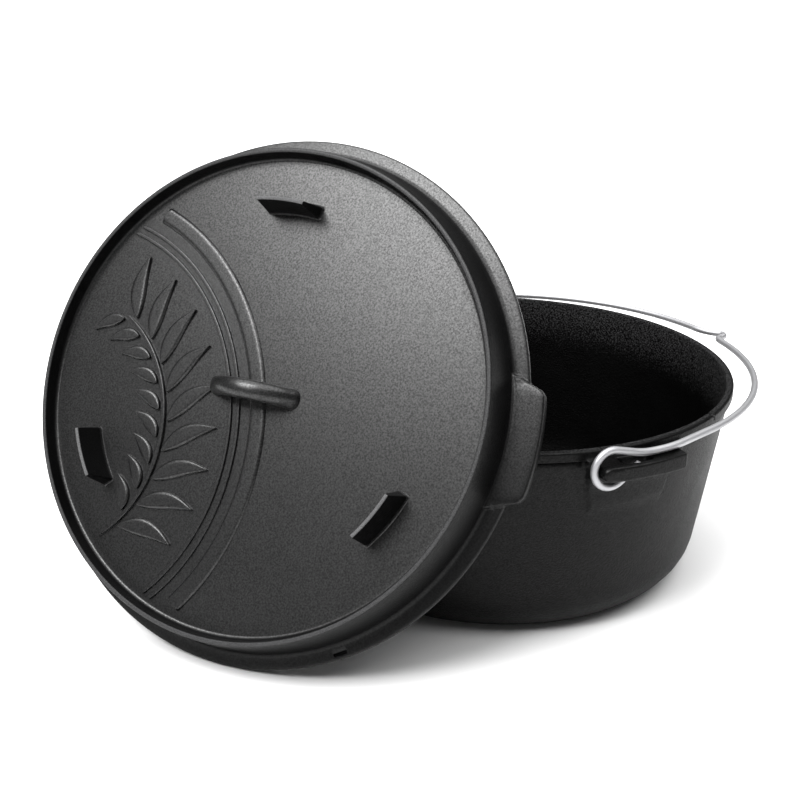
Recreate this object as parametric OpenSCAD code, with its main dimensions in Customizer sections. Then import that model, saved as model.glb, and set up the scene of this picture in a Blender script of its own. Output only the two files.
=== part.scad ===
// Camp dutch oven: a flat-bottomed cast-iron pot with two slotted ears, a wire bail hooked into them,
// and a cast lid with a coal rim, three feet, a loop handle and one side lug.
// Millimetres, +Z up. The origin is the centre of the pot's flat base, the ears lie on the Y axis,
// the bail is folded down towards +X and the lid leans against the pot's rim.

/* [Pot] */
// Height of the pot from its base to the top of its rim
pot_h = 150; // [120:1:180]
// Outer radius of the rim lip
rim_r = 175; // [150:1:200]
// How far the rim lip stands out from the wall below it
lip_out = 2.5; // [1.5:0.1:4]
// Height of the rim lip
lip_h = 8; // [5:0.5:10]
// Outward slope of the wall from upright, in degrees
wall_draft = 8.3; // [4:0.1:11]
// Thickness of the wall
wall_t = 4; // [3.5:0.1:6]
// Thickness of the pot's floor
floor_t = 4.5; // [4:0.1:7]
// Radius of the round between the base and the wall
foot_round = 36; // [20:1:44]
// Width of the thermometer notch in the rim
rim_notch_w = 5; // [4:0.5:7]
// Direction of the rim's notch from +X, in degrees
rim_notch_az = -61; // [-72:1:-50]

/* [Ears] */
// Length of each ear along the rim
ear_len = 65; // [56:1:75]
// Width of the end bar that the bail's hook turns round
end_bar = 19; // [16:0.5:22]
// Thickness of the ear's shelf
ear_t = 10; // [8:0.5:12]
// Drop from the top of the rim to the top of the shelf
ear_drop = 5.5; // [5:0.5:8]
// Thickness of the bar in front of the slot
ear_bar = 5.5; // [5:0.1:8]
// Width of the slot, measured outwards from the pot
slot_w = 9.5; // [9:0.1:12]
// Length of the slot along the rim
slot_len = 20; // [18:0.5:24]
// How far the root pad stands out from the rim lip
pad_out = 4; // [3.5:0.1:6]
// Height of the root pad below the rim
pad_h = 45; // [35:1:55]

/* [Bail] */
// Diameter of the bail's wire
wire_d = 5; // [4:0.1:6]
// How much larger the radius of the bail's bow is than the rim's
bow_out = 4; // [1:0.5:7]
// Turn of the bow on each side of its middle, in degrees
bow_turn = 72.4; // [68:0.1:76]
// Room between the hook and the ear's end bar inside it
hook_room = 0.7; // [0.4:0.1:0.9]
// How far the hook's middle sits above the middle of the ear's shelf
hook_rise = 1.2; // [0.4:0.1:1.4]
// Angle by which the folded bail stands up from level, in degrees
bail_rise = 0.6; // [0:0.1:2]
// Angle at which the leg climbs into the hook, in degrees
neck_angle = 15; // [10:1:20]
// Length of the hook's straight tail
tail_len = 19; // [12:1:20]
// Height of the hanging kink above the bow
kink_h = 10.5; // [8:0.5:12]
// Turn of the kink from the bow's middle, in degrees
kink_at = -3.7; // [-6:0.1:6]

/* [Lid] */
// How far the lid's flange reaches past the pot's rim
flange_over = 5; // [3:0.5:10]
// Thickness of the flange at its edge
flange_t = 5; // [4:0.5:7]
// Width of the flange outside the coal rim
flange_w = 10.5; // [7:0.5:14]
// How far the coal rim's crest lies inside its foot
crest_in = 6.5; // [4:0.5:8]
// Height of the crest above the flange's underside
crest_h = 35.5; // [32:0.5:40]
// Thickness of the coal rim at its crest
crest_t = 3; // [2.5:0.5:6]
// Depth of the plate below the crest
coal_depth = 10; // [8:0.5:14]
// Thickness of the plate
plate_t = 4.5; // [4:0.1:7]
// Rise of the plate's middle above its edge
dome_h = 4.5; // [2:0.5:7]
// Depth of the locating ring under the flange
ring_h = 8; // [5:0.5:10]
// Width of the locating ring
ring_w = 5; // [4:0.5:7]

/* [Lid fittings] */
// Distance from the coal rim's crest in to the middle of each foot
foot_in = 37.5; // [20:0.5:60]
// Width of each foot at its root, measured outwards
foot_w = 8; // [7:0.5:12]
// Half of the angle that each foot spans, in degrees
foot_half_turn = 8.9; // [6:0.1:12]
// Height of the feet above the plate
foot_h = 24; // [20:1:28]
// Half the span of the loop handle, to the middle of its bar
loop_half = 27.5; // [24:0.5:34]
// Height of the loop handle above the plate
loop_h = 22; // [20:0.5:24]
// Thickness of the loop's bar
loop_t = 11; // [9:0.5:13]
// Width of the loop's bar
loop_w = 13; // [11.5:0.5:16]
// How far the side lug reaches past the flange
lug_out = 10.5; // [7:0.5:14]
// Half the length of the lug's outer edge
lug_half = 36; // [30:1:40]
// Thickness of the lug
lug_t = 8; // [7:0.5:11]
// Length of the thermometer slit in the flange
slit_len = 9.5; // [7:0.5:12]
// Width of the thermometer slit in the flange
slit_w = 2.7; // [2:0.1:3.2]

/* [Leaning lid] */
// Compass direction that the lid's top faces, from +X, in degrees
lid_az = -140.7; // [-146:0.1:-136]
// Angle by which the lid's face looks up, in degrees
lid_lean = 27.7; // [24:0.1:32]
// Sideways shift of the lid from the point where the rim meets it
lid_shift = -96.5; // [-105:0.5:-88]
// Turn of the lid about its own axis, in degrees
lid_turn = 0; // [-5:1:5]

/* [Hidden] */
$fn = 96;
iron = [0.09, 0.09, 0.095];
steel = [0.72, 0.73, 0.75];
overlap = 0.5;
rest_gap = 0.3;
soft_r = 2;
edge_r = 1.5;
lip_bevel = lip_h / 6;

// Pot: the wall's radius at the base and the inside of the rim
lip_z = pot_h - lip_h;
wall_foot_r = rim_r - lip_out - lip_z * tan(wall_draft);
wall_across = wall_t / cos(wall_draft);
function wall_at(z) = wall_foot_r + z * tan(wall_draft);
rim_in_r = wall_at(pot_h) - wall_across;

// Ears: heights, and distances outwards from the pot's axis
ear_top = pot_h - ear_drop;
ear_mid = ear_top - ear_t / 2;
slot_in = rim_r + pad_out;
slot_out = slot_in + slot_w;
ear_front = slot_out + ear_bar;
ear_low = ear_top - ear_t;
ear_left = -slot_len / 2 - end_bar;
ear_right = ear_left + ear_len;
ear_root = rim_r - wall_t - lip_out - 1.5;
pad_foot_z = pot_h - pad_h;
pad_proud = 2.5;
pad_left = ear_left - 2.5;
pad_right = ear_right + 9;
pad_taper = 8.5;
pad_back = wall_at(pad_foot_z) - wall_t / 2;
gusset_z = ear_low - 1.2 * ear_t;

// Bail: the hook turns round the ear's end bar
wire_r = wire_d / 2;
bend_swell = 0.02;
wire_lap = 0.25;
hook_x = -(slot_len + end_bar) / 2;
hook_z = ear_mid + hook_rise;
hook_y = (slot_in + slot_out) / 2;
hook_r = end_bar / 2 + hook_room + wire_r;
leg_z = ear_top + rest_gap + wire_r;
leg_lift = leg_z - hook_z;
neck_r = 4 * wire_d;
bend_r = 6 * wire_d;
tail_from = 305;
kink_tip_r = wire_d;
kink_side_r = 1.4 * wire_d;
kink_lap = wire_lap / kink_side_r * 180 / PI;
bow_r = rim_r + bow_out;
bow_reach = bow_r * sin(bow_turn);
bend_drop = bend_r * (1 - sin(bow_turn));
leg_run = (hook_y - bow_reach - bend_drop) / cos(bow_turn);
bend_end_x = slot_len / 2 + 12;
bow_x = bend_end_x + bend_r * cos(bow_turn) + leg_run * sin(bow_turn) - bow_r * cos(bow_turn);
neck_x = hook_x + hook_r * sin(neck_angle)
       + (hook_r * cos(neck_angle) - leg_lift) / tan(neck_angle);
neck_start_x = neck_x + neck_r * tan(neck_angle / 2);
neck_run = (neck_x - hook_x - hook_r * sin(neck_angle)) / cos(neck_angle)
         - neck_r * tan(neck_angle / 2);
kink_far = bow_r + kink_h - kink_tip_r;
kink_near = bow_r + kink_side_r;
kink_sum = kink_tip_r + kink_side_r;
kink_turn = acos((kink_near * kink_near + kink_far * kink_far - kink_sum * kink_sum)
                 / (2 * kink_near * kink_far));
kink_tip_turn = atan2(kink_near * sin(kink_turn), kink_near * cos(kink_turn) - kink_far);

// Lid: radii, and heights above the flange's underside
lid_r = rim_r + flange_over;
coal_foot_r = lid_r - flange_w;
coal_crest_r = coal_foot_r - crest_in;
foot_r = coal_crest_r - foot_in;
plate_top = crest_h - coal_depth;
plate_under = plate_top - plate_t;
function dome_at(r) = r < plate_r / 2 ? dome_h * (1 - r / plate_r / 2) : 1.5 * dome_h * (1 - r / plate_r);
crest_r = crest_t / 2;
plate_r = coal_crest_r - crest_r - edge_r;
ring_r = rim_in_r - 1;
hollow_r = ring_r - ring_w;
cove_r = 5;
lug_r = lid_r + lug_out;
lug_round = 6;
lug_flare = 7.5;
lug_sweep = 1.5 * asin((lug_half + lug_flare) / coal_foot_r);
slit_turn = -59.8;
slit_r = (coal_foot_r + cove_r + lid_r - soft_r) / 2;
loop_rise = loop_h - loop_t / 2;
loop_base = plate_top + dome_at(loop_half);
foot_base = plate_top + dome_at(foot_r);
loop_arc_r = (loop_half * loop_half + loop_rise * loop_rise) / (2 * loop_rise);
foot_slope = 1.5;
foot_slope_turn = 1.3;

// Leaning lid: the flange stands on the ground and the locating ring rests on the pot's rim,
// which reaches past the flange's underside where it comes nearest to the plate
rim_side = hollow_r + lid_shift;
rim_drop = (rim_r - sqrt(rim_r * rim_r - rim_side * rim_side)) * cos(lid_lean);
lid_bite = rim_drop - ring_h - rest_gap + (lip_bevel + edge_r) * (1 - sin(45));
lid_z = lid_r * cos(lid_lean) + rest_gap;
lid_far = (rim_r * cos(lid_lean) + (pot_h - lid_z) * sin(lid_lean) - lid_bite) / cos(lid_lean);

// Filled half-profile of a round-footed bowl from z0 to z1, out to a wall that starts at foot_at
module bowl_profile(foot_at, z0, z1, round_r) {
    t = tan(wall_draft);
    mid = foot_at + round_r * t - round_r / cos(wall_draft);
    translate([mid, z0 + round_r])
        circle(r = round_r);
    polygon([
        [0, z0],
        [mid, z0],
        [mid, z0 + round_r],
        [mid + round_r * cos(wall_draft), z0 + round_r * (1 - sin(wall_draft))],
        [foot_at + (z1 - z0) * t, z1],
        [0, z1]
    ]);
}

// Bar profile from (x0, y0) to (x1, y1) with its two outer corners rounded
module outer_round(x0, x1, y0, y1, r) {
    translate([x0, y0])
        square([x1 - x0 - r, y1 - y0]);
    translate([x0, y0 + r])
        square([x1 - x0, y1 - y0 - 2 * r]);
    for (y = [y0 + r, y1 - r])
        translate([x1 - r, y])
            circle(r = r);
}

// Bar profile from (x0, y0) to (x1, y1) with its two outer corners bevelled
module bevelled(x0, x1, y0, y1, bevel) {
    polygon([
        [x0, y0],
        [x1 - bevel, y0],
        [x1, y0 + bevel],
        [x1, y1 - bevel],
        [x1 - bevel, y1],
        [x0, y1]
    ]);
}

// Profile with two round ends, w wide and h high, centred
module round_end(w, h) {
    square([w - h, h], center = true);
    for (s = [-1, 1])
        translate([s * (w - h) / 2, 0])
            circle(d = h);
}

// Extrudes an X-Z profile outwards along -Y, from y0 to y1
module outwards(y0, y1) {
    translate([0, -y0, 0])
        rotate([90, 0, 0])
            linear_extrude(y1 - y0)
                children();
}

// Shelf ear at -Y: a round-edged end bar for the hook, a square end bar and a front bar round the slot,
// all with a bevelled front concentric with the pot, on a tapered root pad
module ear() {
    intersection() {
        union() {
            translate([hook_x, 0, ear_mid])
                outwards(ear_root, ear_front + 1)
                    round_end(end_bar, ear_t);
            translate([0, 0, ear_low])
                outwards(ear_root, ear_front + 1)
                    translate([slot_len / 2, 0])
                        square([ear_right - slot_len / 2, ear_t]);
            translate([0, 0, ear_low])
                outwards(slot_out, ear_front + 1)
                    translate([ear_left + ear_t / 2, 0])
                        square([ear_len - ear_t, ear_t]);
        }
        rotate_extrude()
            bevelled(ear_root - 10, ear_front, ear_low - 1, ear_top + 1, soft_r + 1);
    }
    intersection() {
        outwards(ear_root - pad_h * tan(wall_draft), slot_in + 1)
            polygon([
                [pad_left, ear_top],
                [pad_right, ear_top],
                [pad_right - pad_taper, pad_foot_z],
                [pad_left + pad_taper, pad_foot_z]
            ]);
        rotate_extrude()
            polygon([
                [pad_back, pad_foot_z - 1],
                [wall_at(pad_foot_z - 1) + pad_proud, pad_foot_z - 1],
                [wall_at(gusset_z) + pad_proud, gusset_z],
                [slot_in, ear_low],
                [slot_in, ear_top + 1],
                [pad_back, ear_top + 1]
            ]);
    }
}

// The pot: one casting with its rim lip and both ears
module pot() {
    color(iron)
    difference() {
        union() {
            rotate_extrude() {
                bowl_profile(wall_foot_r, 0, pot_h - overlap, foot_round);
                bevelled(rim_in_r - wall_t / 2, rim_r, lip_z, pot_h, lip_bevel);
            }
            ear();
            mirror([0, 1, 0])
                ear();
        }
        rotate_extrude()
            bowl_profile(wall_foot_r + floor_t * tan(wall_draft) - wall_across,
                         floor_t, pot_h + 1, foot_round - wall_t);
        rotate([0, 0, rim_notch_az])
            translate([rim_in_r - wall_t, 0, pot_h])
                rotate([0, 90, 0])
                    cylinder(h = rim_r - rim_in_r + 2 * wall_t, d = rim_notch_w);
    }
}

// Straight stretch of wire along +X, run a little way into the bends at its ends
module wire(length) {
    translate([-wire_lap, 0, 0])
        rotate([0, 90, 0])
            cylinder(h = length + 2 * wire_lap, r = wire_r);
}

// Bent stretch of wire in the X-Y plane, round the origin, from one angle to another
module wire_bend(r, from, to, thickness_r = wire_r + bend_swell) {
    rotate([0, 0, from])
        rotate_extrude(angle = to - from)
            translate([r, 0])
                circle(r = thickness_r);
}

// Half of the bail, towards -Y: side of the kink at its turn, bow, leg, bend, neck, hook and tail
module half_bail(turn) {
    translate([bow_x, 0, leg_z]) {
        rotate([0, 0, turn - kink_turn])
            translate([kink_near, 0, 0])
                wire_bend(kink_side_r, 180 + kink_turn - kink_tip_turn - kink_lap, 180 + kink_lap, wire_r);
        wire_bend(bow_r, -bow_turn, turn - kink_turn);
        rotate([0, 0, -bow_turn])
            translate([bow_r, 0, 0])
                rotate([0, 0, -90])
                    wire(leg_run);
    }
    translate([bend_end_x, -hook_y + bend_r, leg_z])
        wire_bend(bend_r, -90, -bow_turn);
    translate([neck_start_x, -hook_y, leg_z])
        wire(bend_end_x - neck_start_x);
    translate([0, -hook_y, 0])
        rotate([90, 0, 0])
            hook();
}

// Neck, hook and tail in their own upright plane, drawn in X and Y
module hook() {
    translate([neck_start_x, leg_z + neck_r, 0])
        wire_bend(neck_r, -90 - neck_angle, -90);
    translate([hook_x, hook_z, 0]) {
        rotate([0, 0, 90 - neck_angle])
            translate([hook_r, 0, 0])
                rotate([0, 0, -90])
                    wire(neck_run);
        wire_bend(hook_r, 90 - neck_angle, tail_from);
        rotate([0, 0, tail_from])
            translate([hook_r, 0, 0])
                rotate([0, 0, 90])
                    wire(tail_len);
    }
}

// The bail: one bent wire, alike at both ears, with a hanging kink in its bow
module bail() {
    color(steel)
    translate([hook_x, 0, hook_z])
        rotate([0, -bail_rise, 0])
            translate([-hook_x, 0, -hook_z]) {
                half_bail(kink_at);
                mirror([0, 1, 0])
                    half_bail(-kink_at);
                translate([bow_x, 0, leg_z])
                    rotate([0, 0, kink_at])
                        translate([kink_far, 0, 0])
                            wire_bend(kink_tip_r, -kink_tip_turn, kink_tip_turn);
            }
}

// Round body of the lid: plate, coal rim, flange and locating ring
module lid_round() {
    rotate_extrude() {
        polygon([
            [0, plate_under + dome_h],
            [plate_r / 2, plate_under + dome_at(plate_r / 2)],
            [plate_r, plate_under],
            [hollow_r + overlap, plate_under],
            [hollow_r + overlap, plate_top],
            [plate_r, plate_top],
            [plate_r / 2, plate_top + dome_at(plate_r / 2)],
            [0, plate_top + dome_h]
        ]);
        polygon([
            [hollow_r, 0],
            [coal_foot_r, 0],
            [coal_foot_r, flange_t],
            [coal_crest_r + crest_r, crest_h - crest_r],
            [coal_crest_r - crest_r, crest_h - crest_r],
            [plate_r, plate_top],
            [hollow_r, plate_under]
        ]);
        translate([coal_crest_r, crest_h - crest_r])
            circle(r = crest_r);
        outer_round(hollow_r, lid_r, 0, flange_t, soft_r);
        difference() {
            translate([coal_foot_r - cove_r, flange_t - overlap])
                square([2 * cove_r, cove_r + overlap]);
            translate([coal_foot_r + cove_r, flange_t + cove_r])
                circle(r = cove_r);
        }
        difference() {
            translate([plate_r - cove_r, plate_top - overlap])
                square([cove_r + 3 * overlap, cove_r + overlap]);
            translate([plate_r - cove_r, plate_top + cove_r])
                circle(r = cove_r);
        }
        translate([hollow_r, -ring_h + edge_r])
            square([ring_w, ring_h - edge_r + overlap]);
        translate([hollow_r + edge_r, -ring_h])
            square([ring_w - 2 * edge_r, ring_h]);
        for (x = [hollow_r + edge_r, ring_r - edge_r])
            translate([x, -ring_h + edge_r])
                circle(r = edge_r);
    }
}

// Tapered foot on the plate, pointing along +X from the lid's centre
module foot() {
    intersection() {
        rotate([0, 0, -foot_half_turn - 1])
            rotate_extrude(angle = 2 * foot_half_turn + 2)
                translate([foot_r, foot_base - overlap])
                    polygon([
                        [-foot_w / 2, 0],
                        [foot_w / 2, 0],
                        [foot_w / 2 - foot_slope, foot_h + overlap],
                        [-foot_w / 2 + foot_slope, foot_h + overlap]
                    ]);
        rotate([90, 0, 90])
            linear_extrude(foot_r + foot_w)
                polygon([
                    [-foot_r * sin(foot_half_turn), 0],
                    [foot_r * sin(foot_half_turn), 0],
                    [foot_r * sin(foot_half_turn - foot_slope_turn), foot_base + foot_h],
                    [-foot_r * sin(foot_half_turn - foot_slope_turn), foot_base + foot_h]
                ]);
    }
}

// Arched loop handle along X, standing on the plate
module loop() {
    intersection() {
        translate([0, 0, loop_base + loop_rise - loop_arc_r])
            rotate([90, 0, 0])
                rotate_extrude()
                    translate([loop_arc_r, 0])
                        rotate([0, 0, 90])
                            round_end(loop_w, loop_t);
        translate([-2 * loop_half, -loop_w, loop_base - plate_t / 2])
            cube([4 * loop_half, 2 * loop_w, 2 * loop_h]);
    }
}

// Side lug on the flange, pointing along +X
module lug() {
    intersection() {
        rotate([0, 0, -lug_sweep])
            rotate_extrude(angle = 2 * lug_sweep)
                bevelled(coal_foot_r - 1, lug_r, 0, lug_t, edge_r);
        translate([0, 0, -1])
            linear_extrude(lug_t + 2)
                polygon([
                    [coal_crest_r, -lug_half - lug_flare],
                    [lug_r - lug_round, -lug_half],
                    [lug_r + 1, -lug_half + lug_round + 1],
                    [lug_r + 1, lug_half - lug_round - 1],
                    [lug_r - lug_round, lug_half],
                    [coal_crest_r, lug_half + lug_flare]
                ]);
    }
}

// The lid: one casting
module lid() {
    translate([
        lid_far * cos(lid_az) - lid_shift * sin(lid_az),
        lid_far * sin(lid_az) + lid_shift * cos(lid_az),
        lid_z
    ])
        rotate([0, 0, lid_az + 90])
            rotate([90 - lid_lean, 0, 0])
                rotate([0, 0, lid_turn])
                    color(iron)
                    difference() {
                        union() {
                            lid_round();
                            for (turn = [90, 210, 330])
                                rotate([0, 0, turn])
                                    foot();
                            loop();
                            lug();
                        }
                        rotate([0, 0, slit_turn])
                            translate([slit_r, 0, flange_t / 2])
                                cube([slit_w, slit_len, flange_t + 2], center = true);
                    }
}

pot();
lid();
bail();
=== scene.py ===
"""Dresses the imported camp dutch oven: cast-iron pot and lid, drawn-wire bail, floor, lights and camera.

Lengths in the classes are millimetres and angles degrees, unless they say otherwise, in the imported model's
frame: the origin is the centre of the pot's base, +Z is up, the ears lie on the Y axis and the folded bail
points along +X. Meshes are written in metres.
"""

import logging
import math
from collections.abc import Sequence
from dataclasses import dataclass
from enum import Enum

import bmesh
import bpy
import numpy as np
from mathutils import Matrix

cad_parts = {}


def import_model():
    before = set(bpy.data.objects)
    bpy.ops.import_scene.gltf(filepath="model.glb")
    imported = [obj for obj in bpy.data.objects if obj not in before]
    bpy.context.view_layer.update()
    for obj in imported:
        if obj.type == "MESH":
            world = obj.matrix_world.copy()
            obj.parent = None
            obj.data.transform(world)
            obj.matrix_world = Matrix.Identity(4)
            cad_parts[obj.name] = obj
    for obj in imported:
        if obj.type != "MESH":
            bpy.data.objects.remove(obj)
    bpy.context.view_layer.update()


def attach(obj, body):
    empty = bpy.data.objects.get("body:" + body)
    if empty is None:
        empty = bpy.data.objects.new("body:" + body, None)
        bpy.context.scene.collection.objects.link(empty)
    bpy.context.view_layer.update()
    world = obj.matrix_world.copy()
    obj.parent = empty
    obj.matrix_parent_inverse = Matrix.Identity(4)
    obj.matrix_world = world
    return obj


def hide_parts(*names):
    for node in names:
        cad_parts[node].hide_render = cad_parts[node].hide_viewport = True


LOG = logging.getLogger("dutch_oven")
MM = 0.001
SAME_POINT = 1e-6
NO_LENGTH = 1e-7
MIDDLE = 0.5
Array = np.ndarray
Colour = tuple[float, float, float]
Piece = bpy.types.Object
Corner = tuple[float, float, float]


class Body(Enum):
    """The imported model's moving bodies."""

    POT = "pot"
    LID = "lid"
    BAIL = "bail"


class Slot(Enum):
    """The record's material slots."""

    IRON = "cast_iron"
    WIRE = "wire"


# Shapes


def smooth_step(x: Array, low: float, high: float) -> Array:
    """Rises from 0 at low to 1 at high as 3t^2 - 2t^3."""
    t = np.clip((x - low) / (high - low), 0.0, 1.0)
    return t * t * (3.0 - 2.0 * t)


def soft_plus(x: Array, ease: float) -> Array:
    """Rounded form of max(x, 0): half of x plus the root of x^2 + ease^2."""
    return 0.5 * (x + np.sqrt(x * x + ease * ease))


def unit(v: Array) -> Array:
    """Vectors scaled to length 1, one in each row."""
    return v / np.linalg.norm(v, axis=-1, keepdims=True)


def rounded_line(corners: Sequence[Corner], steps: int, spacing: float) -> Array:
    """Line through corners whose bends are tangent arcs.

    At each inner corner an arc of radius r touches both sides: it starts r * tan(turn / 2) before the corner
    and turns by the angle between the sides.

    Args:
        corners: (x, z, radius) of each corner, with radius 0 for a sharp one.
        steps: Arc steps for a quarter turn.
        spacing: Longest straight step.

    Returns:
        Points, one row each.
    """
    at = np.array([c[:2] for c in corners], float)
    pieces = [at[:1]]
    for before, here, after, (_, _, r) in zip(at, at[1:], at[2:], corners[1:-1]):
        arrive = unit(here - before)
        leave = unit(after - here)
        turn = math.atan2(arrive[0] * leave[1] - arrive[1] * leave[0], float(arrive @ leave))
        start = here - arrive * r * math.tan(abs(turn) / 2)
        side = np.array([-arrive[1], arrive[0]]) * math.copysign(1.0, turn)
        angles = np.linspace(0.0, abs(turn), max(2, round(steps * abs(turn) / (math.pi / 2)) + 1))
        arc = start + r * (np.outer(np.sin(angles), arrive) + np.outer(1 - np.cos(angles), side))
        pieces.append(arc if r > 0 else here[None])
    pieces.append(at[-1:])
    line = np.concatenate(pieces)
    gaps = np.linalg.norm(np.diff(line, axis=0), axis=1)
    counts = np.maximum(1, np.ceil(gaps / spacing)).astype(int)
    parts = [np.linspace(a, b, n, endpoint=False) for a, b, n in zip(line, line[1:], counts)]
    return np.concatenate([*parts, line[-1:]])


def on_circle(t: Array) -> Array:
    """Points (cos t, sin t), one row each."""
    return np.column_stack([np.cos(t), np.sin(t)])


def arc_points(centre: Sequence[float], r: float, start: float, end: float, step: float = 0.7) -> Array:
    """Points of a circle's arc from start to end, in degrees, about a step apart, one row each."""
    count = max(4, math.ceil(r * math.radians(abs(end - start)) / step))
    return np.asarray(centre, float) + r * on_circle(np.radians(np.linspace(start, end, count)))


def turn_about(axis: str, degrees: float) -> Array:
    """Rotation matrix about the x, y or z axis.

    Args:
        axis: The axis's letter.
        degrees: The turn.

    Returns:
        The matrix, for points as columns.
    """
    c, s = math.cos(math.radians(degrees)), math.sin(math.radians(degrees))
    turns = {
        "x": [[1, 0, 0], [0, c, -s], [0, s, c]],
        "y": [[c, 0, s], [0, 1, 0], [-s, 0, c]],
        "z": [[c, -s, 0], [s, c, 0], [0, 0, 1]],
    }
    return np.array(turns[axis])


def heading(degrees: float) -> Array:
    """The (x, y) direction at an angle from the X axis."""
    return turn_about("z", degrees)[:2, 0]


def full_turn(sides: int) -> Array:
    """Even angles round a circle, in radians."""
    return np.linspace(0.0, 2 * math.pi, sides, endpoint=False)


def quarter_turns(steps: int) -> Array:
    """Angles of the four quarters of a circle, in radians, one quarter in each row."""
    return np.radians([np.linspace(90.0 * k, 90.0 * k + 90.0, steps) for k in range(4)])


@dataclass
class Patch:
    """Grid of points whose neighbours are joined by faces."""

    points: Array
    wrap_rows: bool = False
    wrap_columns: bool = True
    wear_and_glints: Array | float = 0.0
    oil: Array | float = 0.0

    def quads(self) -> Array:
        """Faces of the grid.

        Returns:
            Four point numbers for each face.
        """
        rows, columns = self.points.shape[:2]
        index = np.arange(rows * columns).reshape(rows, columns)
        if self.wrap_rows:
            index = np.concatenate([index, index[:1]], axis=0)
        if self.wrap_columns:
            index = np.concatenate([index, index[:, :1]], axis=1)
        corners = [index[:-1, :-1], index[1:, :-1], index[1:, 1:], index[:-1, 1:]]
        return np.stack(corners, axis=-1).reshape(-1, 4)


def add_object(name: str, data: bpy.types.ID) -> Piece:
    """Puts a new object into the scene.

    Args:
        name: The object's name.
        data: Its mesh, camera or light.

    Returns:
        The object.
    """
    obj = bpy.data.objects.new(name, data)
    bpy.context.scene.collection.objects.link(obj)
    return obj


def patch_mesh(name: str, patches: Sequence[Patch]) -> Piece:
    """Object made of one or more patches.

    Args:
        name: The object's name.
        patches: Grids in millimetres, with the shares of grey metal (worn edges, painted glints and painted
            highlights) and oil film (in places thinned as painted shade) at their points.

    Returns:
        The new object, with seams and poles merged and faces turned outwards.
    """
    counts = [p.points.shape[0] * p.points.shape[1] for p in patches]
    starts = np.cumsum([0, *counts[:-1]])
    points = np.concatenate([p.points.reshape(-1, 3) for p in patches]) * MM
    quads = np.concatenate([p.quads() + start for p, start in zip(patches, starts)])
    mesh = bpy.data.meshes.new(name)
    mesh.from_pydata(points, [], quads)
    for share in ("wear_and_glints", "oil"):
        values = [np.broadcast_to(getattr(p, share), p.points.shape[:2]).ravel() for p in patches]
        layer = mesh.attributes.new(share, "FLOAT", "POINT")
        layer.data.foreach_set("value", np.concatenate(values).astype(np.float32))
    shape = bmesh.new()
    shape.from_mesh(mesh)
    bmesh.ops.remove_doubles(shape, verts=shape.verts, dist=SAME_POINT)
    bmesh.ops.dissolve_degenerate(shape, edges=shape.edges, dist=NO_LENGTH)
    bmesh.ops.recalc_face_normals(shape, faces=shape.faces)
    shape.to_mesh(mesh)
    shape.free()
    mesh.polygons.foreach_set("use_smooth", np.ones(len(mesh.polygons), bool))
    return add_object(name, mesh)


def turned_grid(profile: Array, angles: Array) -> tuple[Array, Array, Array]:
    """Grids of radius, height and angle for a (radius, height) profile turned to angles in radians."""
    r, z, a = np.broadcast_arrays(profile[:, :1], profile[:, 1:], angles[None, :])
    return r, z, a


def round_to_flat(r: Array, z: Array, a: Array) -> Array:
    """Grid of points from radius, height and angle."""
    return np.stack([r * np.cos(a), r * np.sin(a), z], axis=-1)


def angle_from(a: Array, centre: float) -> Array:
    """Signed difference of angles from a centre, in degrees, between -180 and 180."""
    return (np.degrees(a) - centre + 180.0) % 360.0 - 180.0


def dense_angles(count: int, spots: Sequence[tuple[float, float]], extra: int) -> Array:
    """Even angles round a circle, in radians, and extra ones at spots: (centre, half width) in degrees."""
    near = [np.linspace(c - w, c + w, extra) % 360.0 for c, w in spots]
    return np.radians(np.unique(np.round(np.concatenate([np.degrees(full_turn(count)), *near]), 4)))


def rounded_loop(half_x: float, half_y: float, r: float) -> Array:
    """Closed rectangle with round corners, centred on the origin.

    The corners are quarter circles about (+-(half_x - r), +-(half_y - r)), joined by straight sides.

    Args:
        half_x: Half the width.
        half_y: Half the depth.
        r: Corner radius.

    Returns:
        (x, y) rows in anticlockwise order. All such loops match point for point.
    """
    steps = 10
    x, y = half_x - r, half_y - r
    centres = [(x, y), (-x, y), (-x, -y), (x, -y)]
    corners = [np.array(c) + r * on_circle(t) for c, t in zip(centres, quarter_turns(steps))]
    pieces = []
    for here, after in zip(corners, corners[1:] + corners[:1]):
        side = np.linspace(here[-1], after[0], steps + 2)[1:-1]
        pieces += [here, side]
    return np.concatenate(pieces)


def tube_grid(path: Array, radius: Array, sides: int, keep_off: Sequence[float]) -> Array:
    """Round tube along a path.

    Each ring lies across the path's direction t, on the two vectors t x k and t x (t x k), where k is a
    direction that the path never takes.

    Args:
        path: Points of the path.
        radius: Tube radius at each point.
        sides: Points round each ring.
        keep_off: The direction k.

    Returns:
        Grid of shape (path, sides, 3).
    """
    along = unit(np.gradient(path, axis=0))
    first = unit(np.cross(along, np.asarray(keep_off, float)))
    second = np.cross(along, first)
    turn = full_turn(sides)
    ring = np.cos(turn)[None, :, None] * first[:, None] + np.sin(turn)[None, :, None] * second[:, None]
    return path[:, None] + radius[:, None, None] * ring


def even_steps(path: Array, step: float) -> Array:
    """The path's points moved to even distances.

    Args:
        path: Points of the path.
        step: Distance wanted between points.

    Returns:
        Points, one row each.
    """
    keep = np.concatenate([[True], np.linalg.norm(np.diff(path, axis=0), axis=1) > SAME_POINT])
    path = path[keep]
    run = np.concatenate([[0.0], np.cumsum(np.linalg.norm(np.diff(path, axis=0), axis=1))])
    at = np.linspace(0.0, run[-1], max(2, round(run[-1] / step)))
    return np.column_stack([np.interp(at, run, path[:, k]) for k in range(path.shape[1])])


# Shader building


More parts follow.
